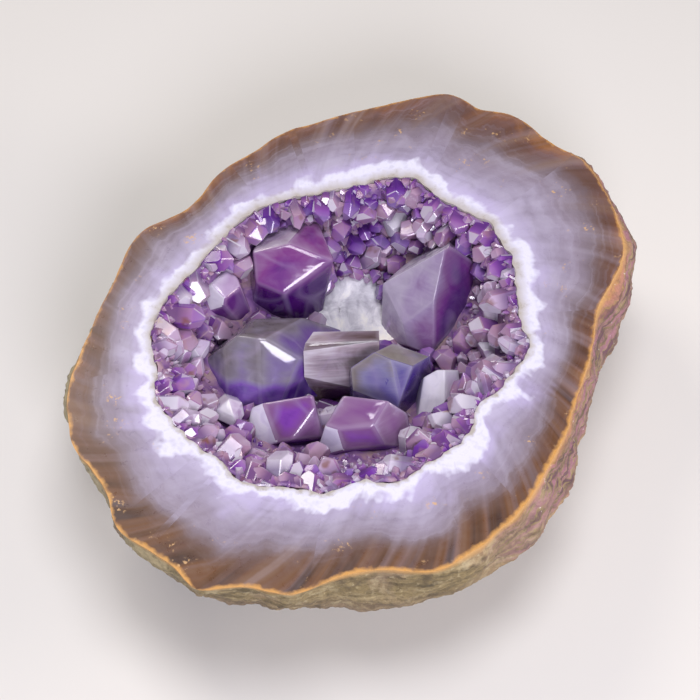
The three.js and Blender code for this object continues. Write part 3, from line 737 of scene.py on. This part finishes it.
# Amethyst: glassy quartz, violet where iron coloured it, deepest at the root, and paler above,
# partly as a painted sheen. Each ramp runs from a crystal's palest colour to its deepest. Below
# deep_from it deepens by deepens, over fade. Slant is how much deeper it gets towards its right, a
# painted shade as if light fell from the left, and striped how strong its growth stripes are.
AMETHYSTS = {
    "deep_amethyst": {
        "ramp": ["#b8a4ba", "#9c70a2", "#86388c", "#74228a", "#4e1474"],
        "deep_from": 41, "fade": 9, "deepens": 0.5, "slant": 0.25, "striped": 0.2,
    },
    "lilac_amethyst": {
        "ramp": ["#b4a6c0", "#9e84b0", "#865892", "#722f86", "#501a72"],
        "deep_from": 36, "fade": 9, "deepens": 0.4, "slant": 0.5, "striped": 0.2,
    },
    "smoky_amethyst": {
        "ramp": ["#766c6e", "#8e8598", "#846eaa", "#7840b4", "#532494"],
        "deep_from": 33, "fade": 3, "deepens": 0.65, "slant": 0.08, "striped": 0.2,
    },
    "smoky_quartz": {
        "ramp": ["#e6dce8", "#bca8b4", "#8c7684", "#685254", "#3c2a30"],
        "deep_from": 32, "fade": 6, "deepens": 0.2, "slant": 0.4, "striped": 0.7,
    },
    "blue_amethyst": {
        "ramp": ["#8a807a", "#948eb8", "#7064b0", "#54349a", "#3c1c70"],
        "deep_from": 36, "fade": 6, "deepens": 0.4, "slant": 0.35, "striped": 0.2,
    },
    "mauve_amethyst": {
        "ramp": ["#d4c8ea", "#a480a8", "#8e5a98", "#8c48b8", "#642a98"],
        "deep_from": 34, "fade": 6, "deepens": 0.15, "slant": 0.22, "striped": 0.2,
    },
    "pale_amethyst": {
        "ramp": ["#f4eefa", "#d6c0e2", "#ba94c8", "#9860a4", "#6a3088"],
        "deep_from": 34, "fade": 6, "deepens": 0.1, "slant": 0.15, "striped": 0.2,
    },
}
DENSITY_PER_METRE = 14


def amethyst(name, ramp, deep_from, fade, deepens, slant, striped):
    """Glassy violet quartz, deeper by facet and towards the root, with painted shade towards its right, a
    painted highlight along its ridges, and pale veils.
    """
    material, tree = new_material(name)
    spot = spot_in_mm(tree)
    shade, frost, ridge = [stored(tree, name) for name in ("shade", "frost", "from_ridge")]
    billow = add_node(tree, "TexNoise", inputs={"Vector": spot, "Scale": 1 / 11, "Detail": 1.0})
    rise = stored(tree, "rise")
    height = add_node(tree, "Math", {"operation": "MULTIPLY_ADD"}, [billow, 9.0, rise])
    bottom = deep_from - fade
    root = add_node(tree, "MapRange", inputs=[height, deep_from + 4.5, bottom + 4.5, 0.0, deepens])
    depth = add_node(tree, "Math", {"operation": "ADD"}, [shade, root])
    # Painted shade: each crystal is made deeper towards its right and paler at its left, as if light fell
    # from the left.
    across = stored(tree, "across")
    depth = add_node(tree, "Math", {"operation": "MULTIPLY_ADD"}, [across, slant, depth])
    uneven = add_node(tree, "Math", {"operation": "MULTIPLY_ADD"}, [billow, 0.9, -0.45])
    depth = add_node(tree, "Math", {"operation": "ADD"}, [depth, uneven])
    # Painted highlight: facets are paler near their ridges and deeper in their middles.
    middle = add_node(tree, "MapRange", inputs=[ridge, 0.3, 5.5, -0.16, 0.22])
    depth = add_node(tree, "Math", {"operation": "ADD"}, [depth, middle])
    stops = [(i / (len(ramp) - 1), shade_of) for i, shade_of in enumerate(ramp)]
    lines = add_node(tree, "VectorMath", {"operation": "MULTIPLY"}, [spot, (0.12, 0.12, 1.6)])
    striation = add_node(tree, "TexNoise", inputs={"Vector": lines, "Scale": 1.0, "Detail": 3.0})
    stripes = add_node(tree, "Math", {"operation": "MULTIPLY_ADD"}, [striation, striped, -striped / 2])
    depth = add_node(tree, "Math", {"operation": "ADD"}, [depth, stripes])
    colour = add_node(tree, "ValToRGB", inputs=[depth], stops=stops)
    wisp = {"Vector": spot, "Scale": 1 / 5, "Detail": 5.0, "Distortion": 1.2}
    wisp = add_node(tree, "TexNoise", inputs=wisp)
    milk_and_painted_sheen = add_node(tree, "MapRange", inputs=[wisp, 0.35, 0.7, 0.35, 1.3])
    milk_and_painted_sheen = add_node(tree, "Math", {"operation": "MULTIPLY", "use_clamp": True}, [milk_and_painted_sheen, frost])
    # Painted highlight: a pale line along each ridge, taken with the frost's milkiness.
    painted_ridge_highlight = add_node(tree, "MapRange", inputs=[ridge, 0.1, 1.2, 0.22, 0.0])
    milk_and_painted_sheen = add_node(tree, "Math", {"operation": "MAXIMUM"}, [milk_and_painted_sheen, painted_ridge_highlight])
    colour = add_node(tree, "Mix", {"data_type": "RGBA"}, [milk_and_painted_sheen, colour, paint("#d6d0e0")])
    sheet = {"Vector": spot, "Scale": 1 / 13, "Detail": 0.0, "Distortion": 0.5}
    sheet = add_node(tree, "TexNoise", inputs=sheet)
    sheet = add_node(tree, "Math", {"operation": "SUBTRACT"}, [sheet, 0.5])
    sheet = add_node(tree, "Math", {"operation": "ABSOLUTE"}, [sheet])
    sheet = add_node(tree, "MapRange", inputs=[sheet, 0.0, 0.06, 0.2, 0.0])
    colour = add_node(tree, "Mix", {"data_type": "RGBA"}, [sheet, colour, paint("#c8b6da")])
    clear = add_node(tree, "MapRange", inputs=[milk_and_painted_sheen, 0.0, 0.8, 0.34, 0.1])
    gloss = add_node(tree, "MapRange", inputs=[milk_and_painted_sheen, 0.0, 1.0, 0.08, 0.24])
    bump = add_node(tree, "Bump", inputs={"Height": striation, "Strength": 0.14, "Distance": 0.15 * MM})
    glass = add_node(
        tree,
        "BsdfPrincipled",
        inputs={
            "Base Color": colour,
            "Roughness": gloss,
            "IOR": QUARTZ_IOR,
            "Transmission Weight": clear,
            "Normal": bump,
        },
    )
    absorbed = {"Color": paint("#9a78d0"), "Density": DENSITY_PER_METRE}
    inner = add_node(tree, "VolumeAbsorption", inputs=absorbed)
    add_node(tree, "OutputMaterial", inputs={"Surface": glass, "Volume": inner})
    return material


def facing(azimuth, slope):
    """The direction that a facet of that azimuth and slope, in degrees, faces."""
    a, s = math.radians(azimuth), math.radians(slope)
    return Vector((math.sin(s) * math.cos(a), math.sin(s) * math.sin(a), math.cos(s)))


def cut_crystal(name, middle, reach, planes):
    """A block round its middle, cut flat by each plane: a point on it and the way it faces."""
    bpy.ops.object.select_all(action="DESELECT")
    bpy.ops.mesh.primitive_cube_add(size=2 * reach * MM, location=middle * MM)
    crystal = bpy.context.active_object
    crystal.name = name
    bpy.ops.object.transform_apply(location=True, rotation=True, scale=True)
    bpy.ops.object.mode_set(mode="EDIT")
    for point, normal in planes:
        bpy.ops.mesh.select_all(action="SELECT")
        bpy.ops.mesh.bisect(plane_co=point * MM, plane_no=normal, use_fill=True, clear_outer=True)
    bpy.ops.mesh.select_all(action="SELECT")
    bpy.ops.mesh.remove_doubles(threshold=0.02 * MM)
    bpy.ops.mesh.normals_make_consistent(inside=False)
    bpy.ops.object.mode_set(mode="OBJECT")
    return crystal


def finish_crystal(crystal, heart, planes, shades, frosts, rounding, cuts):
    """Rounds a crystal's edges, swells its facets a little, and stores what its material reads."""
    work_on(crystal)
    bpy.ops.object.modifier_add(type="BEVEL")
    bevel = crystal.modifiers["Bevel"]
    bevel.width = rounding * MM
    bevel.segments = 3
    bevel.limit_method = "ANGLE"
    bevel.angle_limit = math.radians(8)
    bpy.ops.object.modifier_apply(modifier="Bevel")
    flats = np.array([normal for _, normal in planes])
    offsets = np.array([point.dot(normal) for point, normal in planes])
    select_faces(crystal, lambda face: (flats @ np.array(face.normal)).max() > 0.9999)
    bpy.ops.mesh.poke()
    bpy.ops.mesh.subdivide(number_cuts=cuts)
    bpy.ops.object.mode_set(mode="OBJECT")
    mesh = crystal.data
    places = places_of(mesh)
    # How far inside each plane a point lies, and along its own facet, how far from each ridge.
    inside = offsets[None, :] - places @ flats.T
    own = np.argmin(inside, axis=1)
    cosines = np.clip(flats @ flats.T, -1, 1)
    sines = np.sqrt(1 - cosines**2)
    leaning = np.where(sines[own] > 0.05, inside / np.maximum(sines[own], 0.05), np.inf)
    from_ridge = np.maximum(leaning.min(axis=1), 0)
    swell = SWELL["height"] * (np.clip(from_ridge / SWELL["over"], 0, 1) - 0.5)
    on_facet = from_ridge > rounding
    for i in np.flatnonzero(on_facet):
        hillock = noise.noise(Vector(places[i]) / HILLOCK["size"]) * HILLOCK["height"]
        places[i] += flats[own[i]] * (swell[i] + hillock)
    for i in np.flatnonzero(~on_facet):
        places[i] += flats[own[i]] * swell[i]
    put_places(mesh, places)
    store(mesh, "from_ridge", from_ridge)
    # across: from a crystal's left to its right, for the painted light from the left.
    store(mesh, "across", np.clip((places[:, 0] - heart.x) / ZONES_REACH, -1, 1))
    store(mesh, "rise", places[:, 2] + ZONES_TILT * (places[:, 1] - heart.y))
    best = [int(np.argmax(flats @ np.array(polygon.normal))) for polygon in mesh.polygons]
    store(mesh, "shade", [shades[k] for k in best], domain="FACE")
    store(mesh, "frost", [frosts[k] for k in best], domain="FACE")
    work_on(crystal)
    bpy.ops.object.shade_smooth()


materials = {name: amethyst(name, **looks) for name, looks in AMETHYSTS.items()}
cut_planes = []
for name, crystal in LARGE_CRYSTALS.items():
    x, y, up = crystal["heart"]
    heart = STONE_CENTRE + Vector((x, y, CUT_HEIGHT + up))
    facets = crystal["facets"] + [(0, 180, LARGE_ROOT, 1, 0)]
    planes = []
    for facet_azimuth, slope, distance, _, _ in facets:
        normal = facing(facet_azimuth, slope)
        planes.append((heart + normal * distance, normal))
    cut_planes.append(planes)
    piece = cut_crystal("crystal_" + name, heart, BLOCK_REACH, planes)
    shades = [facet[3] for facet in facets]
    frosts = [facet[4] for facet in facets]
    finish_crystal(piece, heart, planes, shades, frosts, EDGE_ROUNDING, FACET_CUTS)
    piece.data.materials.append(materials[crystal["looks"]])
    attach(piece, "root")
    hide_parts("amethyst_crust")

# Middling crystals
# Quartz points that stand out of the druse near the wall. Each is given by its tip, its lean
# from upright and the azimuth that it leans towards.
TIP_SLOPE = 51.8
MIDDLING_CRYSTALS = [
    {"tip": (5.5, 44, -8.5), "lean": 62, "towards": -105, "twist": 0, "radius": 4.2, "length": 11},
    {"tip": (11.5, 38, -11), "lean": 58, "towards": -95, "twist": 20, "radius": 4.2, "length": 12},
    {"tip": (18.5, 43, -6), "lean": 40, "towards": -90, "twist": 40, "radius": 3.2, "length": 10},
    {"tip": (-30, -22, -9), "lean": 45, "towards": -70, "twist": 15, "radius": 3.4, "length": 11},
    {"tip": (33, -1, -11), "lean": 45, "towards": 205, "twist": 30, "radius": 4, "length": 12},
    {"tip": (-10, 43, -8), "lean": 60, "towards": -75, "twist": 10, "radius": 2.6, "length": 9},
    {"tip": (33, 31.5, -10), "lean": 60, "towards": -135, "twist": 25, "radius": 2.6, "length": 12},
    {"tip": (37, 24.5, -9), "lean": 65, "towards": -150, "twist": 5, "radius": 2.4, "length": 12},
    {"tip": (-41, -18, -7), "lean": 55, "towards": 20, "twist": 35, "radius": 3.2, "length": 9},
    {"tip": (-41, -3.5, -8), "lean": 60, "towards": 5, "twist": 50, "radius": 3.2, "length": 9},
    {"tip": (-28, -30, -10), "lean": 45, "towards": 45, "twist": 0, "radius": 3.4, "length": 10},
    {"tip": (16, -37, -9), "lean": 45, "towards": 115, "twist": 15, "radius": 3.6, "length": 10},
    {"tip": (37, -11, -9), "lean": 50, "towards": 165, "twist": 40, "radius": 3.6, "length": 10},
]
DEEP_POINTS = (6, 7)
POINT_ROUNDING = 0.3
POINT_CUTS = 3


def quartz_planes(tip, axis, radius, length, twist, shares, lifts):
    """The planes of a quartz point. shares and lifts make its sides and tip facets unlike."""
    turn = Vector((0, 0, 1)).rotation_difference(axis)
    planes = [(tip - axis * length, -axis)]
    for k in range(6):
        side = turn @ facing(twist + 60 * k, 90)
        planes.append((tip + side * radius * shares[k], side))
        slant = turn @ facing(twist + 60 * k, TIP_SLOPE)
        planes.append((tip + slant * lifts[k] * radius, slant))
    return planes


chance = random.Random(11)
for number, crystal in enumerate(MIDDLING_CRYSTALS):
    x, y, up = crystal["tip"]
    tip = STONE_CENTRE + Vector((x, y, CUT_HEIGHT + up))
    axis = facing(crystal["towards"], crystal["lean"])
    shares = [chance.uniform(0.8, 1.05) for _ in range(6)]
    lifts = [chance.choice([0, 0, 0.3, 0.45]) for _ in range(6)]
    radius, length = crystal["radius"], crystal["length"]
    planes = quartz_planes(tip, axis, radius, length, crystal["twist"], shares, lifts)
    piece = cut_crystal("point_%d" % (number + 1), tip - axis * length / 2, length, planes)
    looks = "deep_amethyst" if number in DEEP_POINTS else "pale_amethyst"
    shades = [1] + [chance.choice([0, 0.3, 0.6]) for _ in range(12)]
    frosts = [0] + [chance.choice([0.1, 0.4, 0.8]) for _ in range(12)]
    finish_crystal(piece, tip, planes, shades, frosts, POINT_ROUNDING, POINT_CUTS)
    piece.data.materials.append(materials[looks])
    cut_planes.append(planes)
    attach(piece, "root")
    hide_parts("amethyst_crust")

# Druse
# Small amethyst points cover the whole wall, grown into each other. A few points are cut as the
# large ones are, and copies of them, each with its own size, turn and lean, are joined in one.
DRUSE_KINDS = 8
DRUSE_SIZES = [
    {"apart": 5.6, "radius": (2.5, 3.7), "length": (6.5, 9.5)},
    {"apart": 3.4, "radius": (1.6, 2.4), "length": (4.5, 6.5)},
    {"apart": 2.1, "radius": (1.0, 1.5), "length": (3.2, 4.6)},
    {"apart": 1.5, "radius": (0.6, 0.9), "length": (2.4, 3.2)},
]
DRUSE_LEAN = 30
SUNK = 1.8
CLEAR_OF_LARGE = 1.2
LOOKED_PAST = (1, 3, 6, 9, 12, 16, 20, 24)
LOW_POINTS_APART = 2
DRUSE_BEVEL = 0.06
BELOW_CUT = 0.5

chance = random.Random(5)
kinds = []
for _ in range(DRUSE_KINDS):
    shares = [chance.uniform(0.6, 1.1) for _ in range(6)]
    lifts = [chance.choice([0, 0.1, 0.35, 0.55]) for _ in range(6)]
    planes = quartz_planes(Vector((0, 0, 3)), Vector((0, 0, 1)), 1, 3, chance.uniform(0, 60), shares, lifts)
    kind = cut_crystal("druse_kind", Vector((0, 0, 1.5)), 2, planes)
    # The buried foot is left out while the ridges are rounded, so that it takes no faces for it.
    select_faces(kind, lambda face: face.normal.z < -0.9)
    bpy.ops.mesh.delete(type="FACE")
    bpy.ops.object.mode_set(mode="OBJECT")
    bpy.ops.object.modifier_add(type="BEVEL")
    kind.modifiers["Bevel"].width = DRUSE_BEVEL * MM
    kind.modifiers["Bevel"].segments = 1
    bpy.ops.object.modifier_apply(modifier="Bevel")
    bpy.ops.object.mode_set(mode="EDIT")
    bpy.ops.mesh.select_all(action="SELECT")
    bpy.ops.mesh.fill_holes(sides=0)
    bpy.ops.mesh.normals_make_consistent(inside=False)
    bpy.ops.object.mode_set(mode="OBJECT")
    kinds.append((places_of(kind.data), [tuple(polygon.vertices) for polygon in kind.data.polygons]))
    bpy.data.objects.remove(kind)


def is_buried(at, by=-CLEAR_OF_LARGE):
    """Whether a point is in one of the larger crystals, deeper than by."""
    return any(all((at - point).dot(face) < -by for point, face in planes) for planes in cut_planes)


def hides_large(at):
    """Whether a point stands in front of one of the larger crystals, as the stone is looked at."""
    return any(is_buried(at - towards_camera * further, 1.0) for further in LOOKED_PAST)


taken = np.zeros((0, 3))
corner_rows, face_rows, tones, alongs, sparkles = [], [], [], [], []
count = 0
order = list(range(len(wall_faces)))
for size in DRUSE_SIZES:
    chance.shuffle(order)
    for index in order:
        centre, normal = wall_faces[index]
        foot = centre + Vector([chance.uniform(-0.5, 0.5) for _ in range(3)])
        depth = CUT_HEIGHT - foot.z
        beside = math.hypot(foot.x - BARE_FLOOR["centre"][0], foot.y - BARE_FLOOR["centre"][1])
        if depth > BARE_FLOOR["deeper_than"] and beside < BARE_FLOOR["radius"]:
            continue
        if len(taken) and np.min(np.sum((taken - np.array(foot)) ** 2, axis=1)) < size["apart"] ** 2:
            continue
        length = chance.uniform(*size["length"])
        radius = chance.uniform(*size["radius"])
        axis = normal.copy()
        axis.rotate(Quaternion((1, 0, 0), math.radians(chance.uniform(-DRUSE_LEAN, DRUSE_LEAN))))
        axis.rotate(Quaternion((0, 1, 0), math.radians(chance.uniform(-DRUSE_LEAN, DRUSE_LEAN))))
        tip = foot + axis * (length - SUNK)
        if tip.z > CUT_HEIGHT - BELOW_CUT:
            axis.z = min(axis.z, 0.05)
            axis.normalize()
            tip = foot + axis * (length - SUNK)
        along_it = (tip, (foot + tip) / 2, foot + axis)
        if any(is_buried(at) for at in along_it):
            continue
        if size["apart"] > LOW_POINTS_APART and any(hides_large(at) for at in along_it):
            continue
        taken = np.vstack([taken, np.array(foot)])
        corners, faces = kinds[chance.randrange(DRUSE_KINDS)]
        turn = Vector((0, 0, 1)).rotation_difference(axis)
        spin = Quaternion((0, 0, 1), chance.uniform(0, 2 * math.pi))
        grid = np.array((turn @ spin).to_matrix())
        sized = corners * np.array([radius, radius, length / 3])
        grown = sized @ grid.T + np.array(foot - axis * SUNK)
        grown[:, 2] -= max(0, grown[:, 2].max() - CUT_HEIGHT + 0.1)
        corner_rows.append(grown)
        face_rows.extend(tuple(v + count for v in face) for face in faces)
        count += len(grown)
        tones.extend([chance.random()] * len(grown))
        alongs.extend(corners[:, 2] / 3)
        sparkles.extend(chance.random() for _ in faces)
mesh = bpy.data.meshes.new("druse")
mesh.from_pydata((np.vstack(corner_rows) * MM).tolist(), [], face_rows)
store(mesh, "tone", tones)
store(mesh, "along", alongs)
store(mesh, "sparkle", sparkles, domain="FACE")
druse = bpy.data.objects.new("druse", mesh)
bpy.context.scene.collection.objects.link(druse)

# Small amethyst: glassy, with painted shade making it deep violet at the far wall and painted light making
# it pinker at the sides and front, where more light falls in. Some facets are painted near white as glints,
# and iron has stained a few points brown.
druse_amethyst, tree = new_material("druse_amethyst")
spot = spot_in_mm(tree)
tone, height_along, sparkle = [stored(tree, name) for name in ("tone", "along", "sparkle")]
region = add_node(tree, "TexNoise", inputs={"Vector": spot, "Scale": 1 / 14, "Detail": 2.0})
region = add_node(tree, "MapRange", inputs=[region, 0.35, 0.65, -0.16, 0.16])
far_wall = add_node(tree, "SeparateXYZ", inputs=[spot]).node.outputs["Y"]
far_wall = add_node(tree, "MapRange", inputs=[far_wall, 12.0, 34.0, 0.1, -0.08])
# Each facet is made a little paler or deeper at random, a painted reflection of facets catching the light
# unlike each other.
facet = add_node(tree, "Math", {"operation": "MULTIPLY_ADD"}, [sparkle, 0.3, -0.15])
mixed = add_node(tree, "Math", {"operation": "MULTIPLY_ADD"}, [tone, 0.7, 0.15])
for part_of_it in (region, far_wall, facet):
    mixed = add_node(tree, "Math", {"operation": "ADD"}, [mixed, part_of_it])
hues = [
    (0.0, "#602894"), (0.16, "#8340b6"), (0.32, "#9c58bc"), (0.46, "#ab72b4"), (0.58, "#b88ca8"),
    (0.7, "#c6a2c2"), (0.84, "#d8c2e2"), (1.0, "#efe6f6"),
]
colour = add_node(tree, "ValToRGB", inputs=[mixed], stops=hues)
stain = add_node(tree, "TexNoise", inputs={"Vector": spot, "Scale": 1 / 5, "Detail": 2.0})
peach = add_node(tree, "MapRange", inputs=[stain, 0.4, 0.3, 0.0, 0.45])
stain = add_node(tree, "MapRange", inputs=[stain, 0.62, 0.72, 0.0, 0.75])
# Painted shade deepens the points' roots, where they crowd each other; the paler tips are partly their own
# colour and partly a painted highlight.
pale_tip_and_highlight = add_node(tree, "MapRange", inputs=[height_along, 0.6, 1.05, 0.0, 0.35])
painted_root_shade = add_node(tree, "MapRange", inputs=[height_along, 0.7, 0.35, 0.0, 0.65])
painted_facet_glint = add_node(tree, "MapRange", inputs=[sparkle, 0.9, 0.93, 0.0, 0.7])
druse_layers = [
    (peach, "#c8998a"), (painted_root_shade, "#562a7c"), (stain, "#8a5430"), (pale_tip_and_highlight, "#d2c2e0"),
    (painted_facet_glint, "#f0eaf8"),
]
colour = lay_over(tree, colour, druse_layers)
glass = add_node(
    tree,
    "BsdfPrincipled",
    inputs={"Base Color": colour, "Roughness": 0.09, "IOR": QUARTZ_IOR, "Transmission Weight": 0.36},
)
add_node(tree, "OutputMaterial", inputs={"Surface": glass})
mesh.materials.append(druse_amethyst)
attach(druse, "root")
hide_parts("amethyst_crust")
